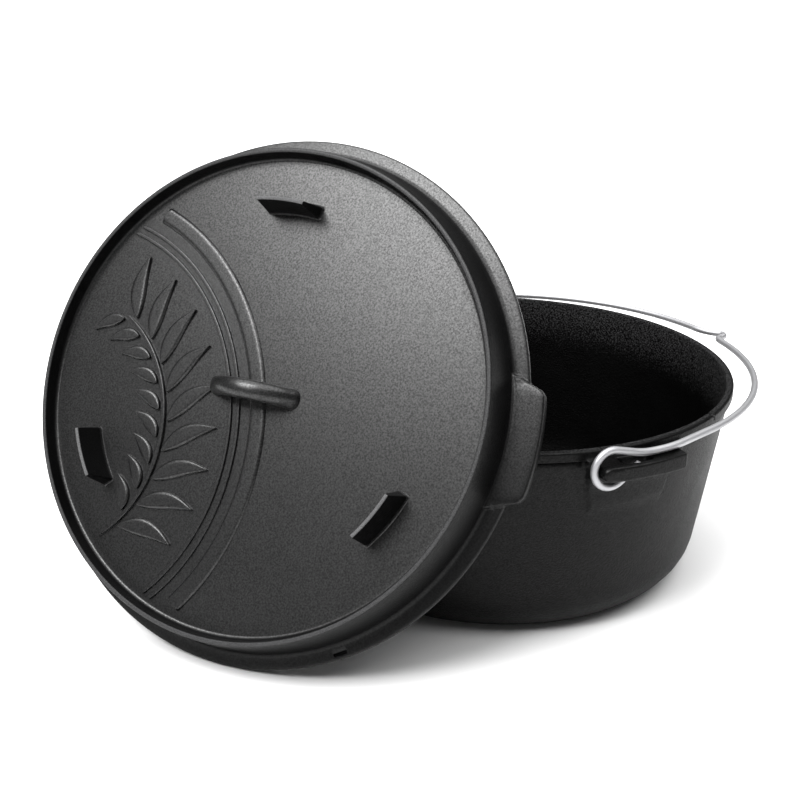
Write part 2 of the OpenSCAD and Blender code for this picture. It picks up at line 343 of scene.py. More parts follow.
@dataclass(frozen=True)
class Val:
    """An output socket on which the arithmetic operators add Math nodes."""

    tree: bpy.types.NodeTree
    socket: bpy.types.NodeSocket

    def math(self, operation: str, other: "Val | float", clamp: bool = False) -> "Val":
        """Math node over this value and another.

        Args:
            operation: The node's operation.
            other: The second value.
            clamp: Whether the result stays between 0 and 1.

        Returns:
            The node's value.
        """
        node = self.tree.nodes.new("ShaderNodeMath")
        node.operation = operation
        node.use_clamp = clamp
        for socket, value in zip(node.inputs, (self, other)):
            feed(self.tree, socket, value)
        return Val(self.tree, node.outputs[0])

    def __add__(self, other: "Val | float") -> "Val":
        """Sum."""
        return self.math("ADD", other)

    def __mul__(self, other: "Val | float") -> "Val":
        """Product."""
        return self.math("MULTIPLY", other)

    def __sub__(self, other: "Val | float") -> "Val":
        """Difference."""
        return self.math("SUBTRACT", other)

    def between(self, low: float, high: float) -> "Val":
        """Share from 0 at low to 1 at high, held at both ends."""
        return (self - low).math("DIVIDE", high - low, clamp=True)


def feed(tree: bpy.types.NodeTree, socket: bpy.types.NodeSocket, value: object) -> None:
    """Links a socket to a Val, or sets it to a constant.

    Args:
        tree: The socket's tree.
        socket: An input socket.
        value: The Val or the constant.
    """
    if isinstance(value, Val):
        tree.links.new(value.socket, socket)
    else:
        socket.default_value = value


class Shader:
    """One material's node tree, with its Principled shader and its object coordinates."""

    def __init__(self, name: str) -> None:
        """Makes the material and its output.

        Args:
            name: The material's name.
        """
        self.material = bpy.data.materials.new(name)
        self.material.use_nodes = True
        self.tree = self.material.node_tree
        self.tree.nodes.clear()
        self.surface = self.tree.nodes.new("ShaderNodeBsdfPrincipled")
        output = self.tree.nodes.new("ShaderNodeOutputMaterial")
        self.tree.links.new(self.surface.outputs[0], output.inputs[0])
        self.place = self.node("ShaderNodeTexCoord", {}, {}, "Object")

    def node(self, kind: str, settings: dict, inputs: dict, output: str | int = 0) -> Val:
        """Adds a node.

        Args:
            kind: The node's type.
            settings: Its own settings, set first.
            inputs: Values or links of its sockets, by name or number.
            output: The output that is wanted.

        Returns:
            That output.
        """
        node = self.tree.nodes.new(kind)
        for key, value in settings.items():
            setattr(node, key, value)
        for key, value in inputs.items():
            feed(self.tree, node.inputs[key], value)
        return Val(self.tree, node.outputs[output])

    def noise(self, scale: float, detail: float, roughness: float) -> Val:
        """Noise over the object, with scale in waves a metre."""
        inputs = {"Vector": self.place, "Scale": scale, "Detail": detail, "Roughness": roughness}
        return self.node("ShaderNodeTexNoise", {}, inputs, "Fac")

    def cells(self, scale: float) -> Val:
        """Distance to the nearest of scattered points, with scale in points a metre."""
        return self.node("ShaderNodeTexVoronoi", {}, {"Vector": self.place, "Scale": scale}, "Distance")

    def blend(self, share: Val, low: "Val | Colour", high: "Val | Colour") -> Val:
        """Colour between two colours, which the Mix node takes at its sockets 6 and 7 and gives at 2."""
        low, high = (c if isinstance(c, Val) else (*c, 1.0) for c in (low, high))
        return self.node("ShaderNodeMix", {"data_type": "RGBA"}, {0: share, 6: low, 7: high}, 2)

    def attribute(self, name: str) -> Val:
        """Number stored on the mesh's points."""
        return self.node("ShaderNodeAttribute", {"attribute_name": name}, {}, "Fac")

    def bump(self, height: Val, strength: float, distance: float) -> Val:
        """Normal tilted by a height, whose full range stands for the distance in metres."""
        inputs = {"Height": height, "Strength": strength, "Distance": distance}
        return self.node("ShaderNodeBump", {}, inputs)

    def finish(self, **sockets: object) -> bpy.types.Material:
        """Feeds the Principled shader's sockets.

        Args:
            sockets: Values by the sockets' names, with underscores for spaces.

        Returns:
            The material.
        """
        for name, value in sockets.items():
            feed(self.tree, self.surface.inputs[name.replace("_", " ")], value)
        return self.material


@dataclass(frozen=True)
class CastIron:
    """Seasoned cast iron: a finely pebbled black skin under an oil film, greyer where edges are worn and where
    glints and highlights are painted grey.

    The film is the shader's coat, and fine speckles in its weight give the grainy look. pebble counts pebbles
    a metre, depth is in metres, and blotch is the share of coarse speckles in the grey places. The grey share
    on the mesh is partly worn metal and partly painted glints and highlights.
    """

    name: str
    dark: Colour = (0.0006, 0.0006, 0.00065)
    light: Colour = (0.0030, 0.0030, 0.0031)
    # Grey of worn edges, also used for painted glints and painted highlights.
    rub_and_glint_grey: Colour = (0.12, 0.12, 0.122)
    roughness: float = 0.48
    pebble: float = 900.0
    depth: float = 0.00022
    bump: float = 0.9
    sheen: float = 0.05
    blotch: float = 0.0
    oil: float = 0.90
    oil_roughness: float = 0.34
    film_least: float = 0.56
    film_speckle: float = 0.85
    rub_base: float = 0.45
    pebble_rise: float = 0.6
    grain_rise: float = 0.55
    wave_rise: float = 0.8
    grain_tone: float = 0.7
    wave_tone: float = 0.5
    wave_gloss: float = 0.14
    grain_gloss: float = 0.18
    rub_gloss: float = 0.08

    def material(self) -> bpy.types.Material:
        """Builds the finish's shader.

        Returns:
            The material.
        """
        s = Shader(self.name)
        pebbles = s.cells(self.pebble)
        grains = s.noise(scale=self.pebble * 1.7, detail=3.0, roughness=0.6)
        waves = s.noise(scale=self.pebble * 0.05, detail=2.0, roughness=0.5)
        speckle = s.noise(scale=self.pebble * 0.95, detail=2.0, roughness=0.6).between(low=0.34, high=0.66)
        wear_and_glints = s.attribute("wear_and_glints")
        oil = s.attribute("oil")
        height = pebbles * self.pebble_rise + grains * self.grain_rise + waves * self.wave_rise
        tone = (grains * self.grain_tone + waves * self.wave_tone).between(low=0.35, high=0.85)
        skin = s.blend(tone, self.dark, self.light)
        spots = grains * (1.0 - self.blotch) + speckle * self.blotch
        # rub greys the skin where the mesh's grey share says: at worn edges, and at painted glints and
        # highlights.
        rub = (wear_and_glints * (spots + self.rub_base)).between(low=0.30, high=0.95)
        uneven = (waves - MIDDLE) * self.wave_gloss + (grains - MIDDLE) * self.grain_gloss
        return s.finish(
            Base_Color=s.blend(rub, skin, self.rub_and_glint_grey),
            Roughness=uneven - rub * self.rub_gloss + self.roughness,
            Specular_IOR_Level=self.sheen,
            Coat_Weight=oil * (speckle * self.film_speckle + self.film_least) * self.oil,
            Coat_Roughness=self.oil_roughness,
            Normal=s.bump(height, self.bump, self.depth),
        )


@dataclass(frozen=True)
class DrawnWire:
    """Bright drawn steel wire with fine scratches and a few duller patches, both counted a metre."""

    name: str
    bright: Colour = (0.40, 0.40, 0.41)
    dull: Colour = (0.31, 0.31, 0.32)
    roughness: float = 0.55
    patch: float = 45.0
    scratch: float = 2600.0
    patch_tone: float = 0.7
    scratch_tone: float = 0.3
    patch_gloss: float = 0.2
    scratch_gloss: float = 0.12
    bump: float = 0.25
    depth: float = 0.00008

    def material(self) -> bpy.types.Material:
        """Builds the finish's shader.

        Returns:
            The material.
        """
        s = Shader(self.name)
        patches = s.noise(scale=self.patch, detail=3.0, roughness=0.6)
        scratches = s.noise(scale=self.scratch, detail=2.0, roughness=0.5)
        tone = (patches * self.patch_tone + scratches * self.scratch_tone).between(low=0.35, high=0.75)
        uneven = (patches - MIDDLE) * self.patch_gloss + (scratches - MIDDLE) * self.scratch_gloss
        return s.finish(
            Base_Color=s.blend(tone, self.bright, self.dull),
            Metallic=1.0,
            Roughness=uneven + self.roughness,
            Normal=s.bump(scratches, self.bump, self.depth),
        )


@dataclass(frozen=True)
class PaleFloor:
    """Plain matt white floor."""

    name: str
    white: Colour = (0.80, 0.80, 0.80)
    roughness: float = 0.9
    sheen: float = 0.1

    def material(self) -> bpy.types.Material:
        """The floor's finish as a material."""
        sockets = {"Roughness": self.roughness, "Specular_IOR_Level": self.sheen}
        return Shader(self.name).finish(Base_Color=(*self.white, 1.0), **sockets)


def dress(obj: Piece, material: bpy.types.Material, body: Body) -> Piece:
    """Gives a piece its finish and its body.

    Args:
        obj: The piece.
        material: Its finish.
        body: The body that it moves with.

    Returns:
        The piece.
    """
    obj.data.materials.append(material)
    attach(obj, body.value)
    LOG.info("%s: %d faces on %s", obj.name, len(obj.data.polygons), body.value)
    return obj


# Sub-assemblies


@dataclass
class Pot:
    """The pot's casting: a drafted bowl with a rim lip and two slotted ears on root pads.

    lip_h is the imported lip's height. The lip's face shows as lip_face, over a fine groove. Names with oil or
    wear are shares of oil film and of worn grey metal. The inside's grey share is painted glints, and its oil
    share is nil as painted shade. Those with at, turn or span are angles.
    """

    height: float = 150.0
    rim_r: float = 175.0
    rim_out_round: float = 1.8
    rim_in_round: float = 1.2
    lip_out: float = 2.5
    lip_h: float = 8.0
    lip_face: float = 6.0
    lip_round: float = 0.5
    groove_in: float = 1.0
    groove_h: float = 1.6
    groove_foot: float = 2.2
    groove_round: float = 0.3
    draft: float = 8.3
    wall: float = 4.0
    floor: float = 4.5
    foot_round: float = 36.0
    ear_len: float = 65.0
    end_bar: float = 19.0
    ear_t: float = 10.0
    ear_drop: float = 5.5
    ear_bar: float = 5.5
    ear_round: float = 2.5
    ear_edge: float = 1.8
    ear_sunk: float = 0.5
    bar_flat: float = 0.1
    bar_from: float = -15.0
    bar_to: float = -9.0
    slot_w: float = 9.5
    slot_len: float = 20.0
    pad_out: float = 4.0
    pad_h: float = 45.0
    pad_proud: float = 2.5
    pad_taper: float = 8.5
    pad_before: float = 2.5
    pad_after: float = 9.0
    pad_steep: float = 4.0
    pad_ease: float = 0.25
    pad_fade: float = 0.5
    pad_row: float = 0.6
    pad_below: float = 8.0
    pad_turn: float = 86.0
    pad_span: float = 17.0
    gusset_h: float = 12.0
    notch_w: float = 5.0
    notch_at: float = -61.0
    notch_span: float = 1.4
    even_angles: int = 300
    extra_angles: int = 84
    rim_band: float = 3.0
    rim_wear: float = 0.12
    ear_wear: float = 0.22
    oil_out: float = 0.19
    # The inside has no oil film, so it stays darker: painted shade.
    painted_shade_oil_in: float = 0.0
    oil_ear: float = 0.22
    # The next two paint glints: grey speckles on the inner wall, from none at the lower height to their full
    # share at the rim.
    painted_glints_in: float = 0.38
    painted_glints_low: float = 45.0
    iron: CastIron = CastIron(
        "pot_iron",
        dark=(0.0002, 0.0002, 0.0002),
        light=(0.0010, 0.0010, 0.0010),
        pebble=820.0,
        depth=0.00090,
        sheen=0.03,
        blotch=0.5,
    )

    def __post_init__(self) -> None:
        """Works out the sizes that follow from the fields."""
        self.slope = math.tan(math.radians(self.draft))
        self.foot_r = self.rim_r - self.lip_out - (self.height - self.lip_h) * self.slope
        self.across = self.wall / math.cos(math.radians(self.draft))
        self.rim_in = self.foot_r + self.height * self.slope - self.across
        self.ear_top = self.height - self.ear_drop
        self.ear_mid = self.ear_top - self.ear_t / 2
        self.ear_low = self.ear_top - self.ear_t
        self.ear_left = -self.slot_len / 2 - self.end_bar
        self.slot_in = self.rim_r + self.pad_out
        self.slot_out = self.slot_in + self.slot_w
        self.slot_mid = (self.slot_in + self.slot_out) / 2
        self.ear_front = self.slot_out + self.ear_bar
        self.pad_left = self.ear_left - self.pad_before
        self.pad_right = self.ear_left + self.ear_len + self.pad_after
        self.pad_foot = self.height - self.pad_h
        self.gusset_z = self.ear_low - self.gusset_h

    def profile(self) -> Array:
        """Half section from the base's centre round the outside, over the rim and back along the inside.

        Returns:
            (radius, height) rows.
        """
        inner_foot = self.foot_r + self.floor * self.slope - self.across
        under = self.height - self.lip_face
        wall_r = self.foot_r + (under - self.groove_foot) * self.slope
        groove_r = wall_r - self.groove_in
        return rounded_line(
            [
                (0.0, 0.0, 0.0),
                (self.foot_r, 0.0, self.foot_round),
                (wall_r, under - self.groove_foot, 0.0),
                (groove_r, under - self.groove_h, self.groove_round),
                (groove_r, under, self.groove_round),
                (self.rim_r, under, self.lip_round),
                (self.rim_r, self.ear_top - self.pad_row, 0.0),
                (self.rim_r, self.ear_top, 0.0),
                (self.rim_r, self.height, self.rim_out_round),
                (self.rim_in, self.height, self.rim_in_round),
                (inner_foot, self.floor, self.foot_round - self.wall),
                (0.0, self.floor, 0.0),
            ],
            steps=8,
            spacing=5.2,
        )

    def pad_depth(self, r: Array, z: Array, a: Array) -> Array:
        """How far the ears' root pads stand out from the wall.

        A pad lies evenly on the wall, grows into a gusset under the ear and narrows downwards. The least of
        its own depth and its steep sides' heights, rounded off at zero, is added to the wall's radius.

        Args:
            r: Wall radius.
            z: Height.
            a: Angle, in radians.

        Returns:
            The pad's depth at each point.
        """
        x = r * np.cos(a)
        beside_ears = np.abs(np.sin(a)) > 0.9
        far_below = -50.0
        narrow = self.pad_taper * (self.ear_top - z) / (self.ear_top - self.pad_foot)
        gusset = np.clip((z - self.gusset_z) / (self.ear_low - self.gusset_z), 0.0, 1.0)
        depth = self.pad_proud + gusset * (self.slot_in - r - self.pad_proud)
        sides = np.minimum(x - self.pad_left - narrow, self.pad_right - narrow - x)
        least = np.minimum(depth, self.pad_steep * np.minimum(sides, z - self.pad_foot))
        least = np.where(beside_ears, least, far_below)
        fade = 1.0 - smooth_step(z, self.ear_top - self.pad_fade, self.ear_top)
        return soft_plus(least, self.pad_ease) * fade

    def bowl(self) -> Piece:
        """The bowl with its lip, root pads and thermometer notch.

        The notch is half a circle: at s from its middle it is as deep as the root of half^2 - s^2.

        Returns:
            The bowl.
        """
        profile = self.profile()
        pads = [(turn, self.pad_span) for turn in (-self.pad_turn, self.pad_turn)]
        angles = dense_angles(self.even_angles, [*pads, (self.notch_at, self.notch_span)], self.extra_angles)
        r, z, a = turned_grid(profile, angles)
        rim_row = np.argmax(profile[:, 1] > self.height - 0.01)
        outside = (np.arange(len(profile)) < rim_row)[:, None]
        at_pads = outside & (z > self.pad_foot - self.pad_below)
        r = r + np.where(at_pads, self.pad_depth(r, z, a), 0.0)
        half = self.notch_w / 2
        across = np.radians(angle_from(a, self.notch_at)) * self.rim_r
        cut = np.sqrt(np.clip(1.0 - (across / half) ** 2, 0.0, 1.0)) * half
        z = np.minimum(z, self.height - cut)
        rim = self.rim_wear * smooth_step(z, self.height - self.rim_band, self.height)
        # Painted glints: grey speckles on the inside's upper wall, fading out down into the pot.
        painted_glints = self.painted_glints_in * smooth_step(z, self.painted_glints_low, self.height)
        wear_and_glints = np.where(outside, rim, painted_glints)
        # No oil film on the inside: painted shade that darkens the pot's inside.
        oil = np.where(outside, self.oil_out, self.painted_shade_oil_in)
        return patch_mesh("pot_bowl", [Patch(round_to_flat(r, z, a), wear_and_glints=wear_and_glints, oil=oil)])

    def ear(self, name: str, side: float) -> Piece:
        """One ear: a shelf round its slot, its front concentric with the pot, with a round bar for the hook.

        Each section runs from the slot's outline to the ear's outline, w apart. It is a rounded rectangle:
        its corners are quarter circles of radius e about (+-(w / 2 - e), +-(t / 2 - e)), and e grows at the
        bar.

        Args:
            name: The piece's name.
            side: -1 for the ear towards -Y, 1 for the one towards +Y.

        Returns:
            The ear.
        """
        back = self.rim_in - self.ear_sunk
        steps = 8
        inner = rounded_loop(self.slot_len / 2, self.slot_w / 2, self.ear_round)
        inner = inner + np.array([0.0, self.slot_mid])
        outer = rounded_loop(self.ear_len / 2, (self.ear_front - back) / 2, self.ear_round)
        outer = outer + np.array([self.ear_left + self.ear_len / 2, (self.ear_front + back) / 2])
        outer[:, 1] += np.sqrt(self.ear_front**2 - outer[:, 0] ** 2) - self.ear_front
        reach = outer - inner
        width = np.linalg.norm(reach, axis=1, keepdims=True)
        middle = (inner + outer) / 2
        at_bar = 1.0 - smooth_step(middle[:, :1], self.bar_from, self.bar_to)
        bar_edge = self.ear_t / 2 - self.bar_flat
        edge = np.minimum(self.ear_edge + (bar_edge - self.ear_edge) * at_bar, (width - self.bar_flat) / 2)
        t = quarter_turns(steps).ravel()
        right = np.repeat([1.0, -1.0, -1.0, 1.0], steps)
        top = np.repeat([1.0, 1.0, -1.0, -1.0], steps)
        across = right * (width / 2 - edge) + edge * np.cos(t)
        z = self.ear_mid + top * (self.ear_t / 2 - edge) + edge * np.sin(t)
        at = middle[:, None] + across[..., None] * (reach / width)[:, None]
        points = np.stack([at[..., 0], side * at[..., 1], z], axis=-1)
        rub = self.ear_wear * smooth_step(np.abs(np.sin(2 * t)), 0.5, 1.0) * (top > 0)
        return patch_mesh(name, [Patch(points, wrap_rows=True, wear_and_glints=rub, oil=self.oil_ear)])

    def build(self) -> None:
        """Makes the pot's pieces."""
        material = self.iron.material()
        bowl = dress(self.bowl(), material, Body.POT)
        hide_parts("pot")
        for name, side in (("ear_near", -1.0), ("ear_far", 1.0)):
            dress(self.ear(name, side), material, Body.POT)


@dataclass
class Lid:
    """The lid's casting, built in its own frame and leaned against the pot.

    face_z parts the flange's upper face from its lower one, and lug_reach is an angle in radians. Names with
    oil, gain, sheen or wear are shares of oil film and worn grey metal; the ledge's upward share is painted
    shade, thinning the film towards the lid's lower side, and the feet's grey tops are partly a painted
    highlight. Those with at, turn or span are angles.
    """

    pot: Pot
    flange_over: float = 5.0
    flange_t: float = 5.0
    flange_w: float = 10.5
    flange_edge: float = 1.6
    flange_fall: float = 0.4
    face_z: float = 2.0
    cove: float = 4.0
    cove_out: float = 0.3
    cove_rise: float = 1.2
    crest_in: float = 6.5
    crest_h: float = 35.5
    crest_t: float = 3.0
    crest_edge: float = 1.3
    crest_band: float = 1.5
    crest_wear: float = 0.5
    coal_depth: float = 10.0
    plate_in: float = 1.5
    plate_t: float = 4.5
    plate_root: float = 2.5
    plate_flat: int = 150
    plate_step: int = 6
    dome_h: float = 4.5
    ring_h: float = 8.0
    ring_w: float = 5.0
    ring_room: float = 1.0
    ring_edge: float = 1.5
    ring_root: float = 4.0
    seat_round: float = 0.6
    foot_in: float = 37.5
    foot_w: float = 8.0
    foot_half_turn: float = 9.1
    foot_h: float = 24.0
    # Grey share of the feet's tops: partly wear, partly painted highlight.
    foot_wear_and_highlight: float = 0.75
    loop_half: float = 27.5
    loop_h: float = 22.0
    loop_t: float = 11.0
    loop_w: float = 13.0
    lug_out: float = 10.5
    lug_half: float = 36.0
    lug_flare: float = 7.5
    lug_round: float = 6.0
    lug_t: float = 8.0
    lug_ease: float = 1.0
    lug_root: float = 0.6
    lug_blend: float = 0.7
    lug_reach: float = 0.45
    lug_turn: float = 12.5
    lug_span: float = 4.0
    slit_len: float = 9.5
    slit_w: float = 1.6
    slit_at: float = -59.8
    slit_out: float = 1.5
    slit_depth: float = 3.0
    slit_edge: float = 0.15
    slit_span: float = 2.0
    even_angles: int = 360
    extra_angles: int = 64
    wall_oil: float = 0.18
    ledge_oil: float = 0.26
    # Extra film towards the lid's upper side, so the lower flange darkens: painted shade.
    ledge_painted_sheen: float = 0.52
    azimuth: float = -140.7
    lean: float = 27.7
    shift: float = -96.5
    rest_gap: float = 0.3
    feet: tuple[float, float, float] = (90.6, 210.0, 330.0)
    iron: CastIron = CastIron("lid_iron")

    def __post_init__(self) -> None:
        """Works out the sizes that follow from the fields, and the lid's place."""
        self.rim = self.pot.rim_r + self.flange_over
        self.coal_foot = self.rim - self.flange_w
        self.crest = self.coal_foot - self.crest_in
        self.plate_r = self.crest - self.crest_t / 2 - self.plate_in
        self.plate_top = self.crest_h - self.coal_depth
        self.foot_r = self.crest - self.foot_in
        self.ring_r = self.pot.rim_in - self.ring_room
        self.hollow = self.ring_r - self.ring_w
        self.slit_r = (self.coal_foot + self.rim) / 2 + self.slit_out
        self.lug_front = self.rim + self.lug_out
        self.lug_start = self.lug_front - self.lug_round
        self.lug_slope = self.lug_flare / (self.lug_start - self.crest)
        self.frame, self.centre = self.place()

    def place(self) -> tuple[Array, Array]:
        """The lid's axes as columns and the middle of its flange's underside, leaning on the rim.

        The locating ring's inside meets the pot's rim beside the lid's middle. Both edges are rounded, and
        their rounds let them come closer than sharp ones, as reckoned for edges that meet at 45 degrees.

        Returns:
            The axes and the middle.
        """
        lean, azimuth = math.radians(self.lean), math.radians(self.azimuth)
        rim, side = self.pot.rim_r, self.hollow + self.shift
        drop = (rim - math.sqrt(rim * rim - side * side)) * math.cos(lean)
        rounds = self.pot.lip_h / 6 + self.ring_edge
        bite = drop - self.ring_h - self.rest_gap + rounds * (1 - math.sin(math.pi / 4))
        z = self.rim * math.cos(lean) + self.rest_gap
        far = (rim * math.cos(lean) + (self.pot.height - z) * math.sin(lean) - bite) / math.cos(lean)
        x = far * math.cos(azimuth) - self.shift * math.sin(azimuth)
        y = far * math.sin(azimuth) + self.shift * math.cos(azimuth)
        frame = turn_about("z", self.azimuth + 90) @ turn_about("x", 90 - self.lean)
        return frame, np.array([x, y, z])

    def placed(self, points: Array) -> Array:
        """Points of the lid's own frame moved to where it leans."""
        return points @ self.frame.T + self.centre

    def dome(self, r: Array | float) -> Array | float:
        """Rise of the plate above its edge: dome_h * (1 - (r / plate_r)^2), and 0 outside the plate."""
        return self.dome_h * np.clip(1.0 - (np.asarray(r) / self.plate_r) ** 2, 0.0, None)

    def profile(self) -> Array:
        """Half section from the underside's centre round the ring, flange and coal rim to the plate.

        Returns:
            (radius, height) rows.
        """
        outer = np.array([self.rim, self.flange_t - self.flange_fall])
        inner = np.array([self.coal_foot + self.cove_out, self.flange_t + self.cove_rise])
        half, edge = self.slit_w / 2, self.slit_edge
        rows = self.slit_r + np.array([half + edge, half - edge, edge - half, -half - edge])
        shares = (self.rim - rows) / (outer[0] - inner[0])
        shelf = [(*(outer + (inner - outer) * share), 0.0) for share in shares]
        low = self.plate_top - self.plate_t
        inward = range(self.plate_flat, -1, -self.plate_step)
        under = [(r, low + self.dome(r), 0.0) for r in range(0, self.plate_flat, self.plate_step)]
        plate = [(r, self.plate_top + self.dome(r), 0.0) for r in inward]
        return rounded_line(
            [
                *under,
                (self.hollow, low, self.ring_root),
                (self.hollow, -self.ring_h, self.ring_edge),
                (self.ring_r, -self.ring_h, self.ring_edge),
                (self.ring_r, 0.0, self.seat_round),
                (self.rim, 0.0, self.flange_edge),
                (*outer, self.flange_edge),
                *shelf,
                (*inner, self.cove),
                (self.crest + self.crest_t / 2, self.crest_h, self.crest_edge),
                (self.crest - self.crest_t / 2, self.crest_h, self.crest_edge),
                (self.plate_r, self.plate_top, self.plate_root),
                *plate,
            ],
            steps=8,
            spacing=6.2,
        )

    def outline(self, a: Array) -> Array:
        """Radius of the flange's edge at each angle, with the lug drawn out.

        The lug's side is the line y = half + k * (start - x), its corner the line y = half + start - x and
        its front a circle. In polar form a line y + k * x = c lies at c / (sin + k * cos). The least of the
        three, eased, is taken where it passes the flange's own radius.

        Args:
            a: Angles from the lug's middle, in radians.

        Returns:
            The edge's radius.
        """
        a = np.abs(np.radians(angle_from(a, 0.0)))
        wedge = np.minimum(a, self.lug_reach)
        k = self.lug_slope
        side = (self.lug_half + k * self.lug_start) / (np.sin(wedge) + k * np.cos(wedge))
        corner = (self.lug_half + self.lug_start) / (np.sin(wedge) + np.cos(wedge))
        lug = self.lug_front - soft_plus(self.lug_front - corner, self.lug_ease)
        lug = lug - soft_plus(lug - side, self.lug_ease)
        return self.rim + soft_plus(lug - self.rim, self.lug_root) * (a < self.lug_reach)

    def film_and_painted_shade(self, profile: Array, angles: Array) -> Array:
        """Share of oil film: full on the plate, thin on the coal rim's wall; on the flange it thins downwards
        as painted shade.

        Args:
            profile: The half section's rows.
            angles: Angles of the turn, in radians.

        Returns:
            The share at each row and angle.
        """
        r, z = profile[:, :1], profile[:, 1:]
        top = (np.arange(len(profile)) > np.argmax(profile[:, 0]))[:, None]
        plate = 1.0 - smooth_step(r, self.plate_r - 2.0, self.plate_r + 0.5)
        wall = self.wall_oil * smooth_step(z, self.flange_t + 6.0, self.crest_h) * (r > self.crest)
        ledge = smooth_step(r, self.coal_foot - 1.0, self.coal_foot + 2.0)
        # The film thins towards the lid's lower side: painted shade on the lower flange.
        painted_sheen_upward = smooth_step(np.sin(angles), -0.4, 0.8)
        return top * np.maximum(np.maximum(plate, wall), ledge * (self.ledge_oil + self.ledge_painted_sheen * painted_sheen_upward))

    def body(self) -> Piece:
        """The turned body: its flange is drawn out into the lug, whose face stands higher, and has the slit.

        Returns:
            The body.
        """
        profile = self.profile()
        sides = [(turn, self.lug_span) for turn in (-self.lug_turn, self.lug_turn)]
        angles = dense_angles(self.even_angles, [*sides, (self.slit_at, self.slit_span)], self.extra_angles)
        r, z, a = turned_grid(profile, angles)
        flange = (z > -0.5) & (z < self.flange_t + self.cove)
        outward = smooth_step(r, self.coal_foot + 0.5, self.rim - 1.0) * flange
        r = r + (self.outline(a) - self.rim) * outward
        face = flange & (z > self.face_z)
        half = self.lug_half + self.lug_slope * (self.lug_start - r * np.cos(a))
        inside = half - np.abs(r * np.sin(a))
        raised = smooth_step(inside, -self.lug_blend, self.lug_blend) * (np.cos(a) > 0.9)
        raised = raised * smooth_step(r, self.coal_foot - 1.5, self.coal_foot + 2.0) * face
        z = z + raised * (self.lug_t - self.flange_t)
        along = np.abs(np.radians(angle_from(a, self.slit_at))) * self.slit_r
        in_slit = smooth_step(self.slit_len / 2 - along, -self.slit_edge, self.slit_edge)
        in_slit = in_slit * (np.abs(r - self.slit_r) < self.slit_w / 2) * face
        z = z - self.slit_depth * in_slit
        crest = smooth_step(profile[:, 1:], self.crest_h - self.crest_band, self.crest_h)
        wear_and_glints = self.crest_wear * crest * (profile[:, :1] > self.plate_r)
        points = self.placed(round_to_flat(r, z, a))
        return patch_mesh("lid_body", [Patch(points, wear_and_glints=wear_and_glints, oil=self.film_and_painted_shade(profile, angles))])

    def foot(self, name: str, turn: float) -> Piece:
        """One foot: a rounded block bent along its circle, with a flared root and sloping sides.

        Each level is a rounded rectangle, drawn in by the inset that the side's line has at its rise.

        Args:
            name: The piece's name.
            turn: Direction of the foot from the lid's centre, in degrees.

        Returns:
            The foot.
        """
        half_long = self.foot_r * math.radians(self.foot_half_turn)
        half_wide = self.foot_w / 2
        corner_r, corner_fall, corner_least = 1.6, 0.45, 0.3
        root, heel = (-2.0, -1.0, 0.0), (-0.3, 0.5, 1.8)
        shoulder, middle = (2.9, self.foot_h, 0.8), (half_wide, self.foot_h, 0.0)
        side = rounded_line([root, heel, shoulder, middle], steps=8, spacing=2.0)
        inset, rise = side[:, 0], side[:, 1]
        corner = np.clip(corner_r - inset * corner_fall, corner_least, None)
        sizes = zip(half_long - inset, half_wide - inset, corner)
        loops = np.stack([rounded_loop(x, y, min(r, y)) for x, y, r in sizes])
        bend = loops[..., 0] / self.foot_r
        out = self.foot_r + loops[..., 1]
        base = self.plate_top + self.dome(self.foot_r)
        up = np.broadcast_to((base + rise)[:, None], out.shape)
        grid = np.stack([out * np.cos(bend), out * np.sin(bend), up], axis=-1) @ turn_about("z", turn).T
        # The feet's grey tops are partly wear and partly a painted highlight standing in for light caught
        # along their top edges.
        rub = self.foot_wear_and_highlight * smooth_step(rise, self.foot_h - 1.2, self.foot_h - 0.2)
        oily = 1.0 - smooth_step(rise, 0.8, 2.2)
        return patch_mesh(name, [Patch(self.placed(grid), wear_and_glints=rub[:, None], oil=oily[:, None])])

    def loop(self) -> Piece:
        """The arched loop handle: a flattened round bar along an arc, its ends run into the plate.

        Its section is (cos t, |sin t|^0.85 with the sign of sin t), scaled to the bar's two widths.

        Returns:
            The loop.
        """
        rise = self.loop_h - self.loop_t / 2
        base = self.plate_top + self.dome(self.loop_half)
        arc_r = (self.loop_half**2 + rise**2) / (2 * rise)
        sunk_turn, flare_share, flare_h, sides = 6.0, 0.08, 4.0, 48
        reach = math.degrees(math.asin(min(1.0, self.loop_half / arc_r))) + sunk_turn
        middle = np.array([0.0, base + rise - arc_r])
        line = arc_points(middle, arc_r, 90 - reach, 90 + reach, 0.8)
        t = full_turn(sides)
        flare = 1.0 + flare_share * (1.0 - smooth_step(line[:, 1] - base, 0.0, flare_h))
        flare[[0, -1]] = 0.0
        out = (line - middle) / arc_r
        thick = np.cos(t) * self.loop_t / 2 * flare[:, None]
        broad = np.sign(np.sin(t)) * np.abs(np.sin(t)) ** 0.85 * self.loop_w / 2 * flare[:, None]
        x = line[:, :1] + out[:, :1] * thick
        z = np.maximum(line[:, 1:] + out[:, 1:] * thick, base - self.plate_t / 2)
        return patch_mesh("lid_loop", [Patch(self.placed(np.stack([x, broad, z], axis=-1)), oil=1.0)])

    def build(self) -> None:
        """Makes the lid's pieces."""
        material = self.iron.material()
        body = dress(self.body(), material, Body.LID)
        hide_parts("lid")
        for number, turn in enumerate(self.feet, 1):
            dress(self.foot(f"lid_foot_{number}", turn), material, Body.LID)
        dress(self.loop(), material, Body.LID)
        for piece in Relief(self).build():
            dress(piece, material, Body.LID)


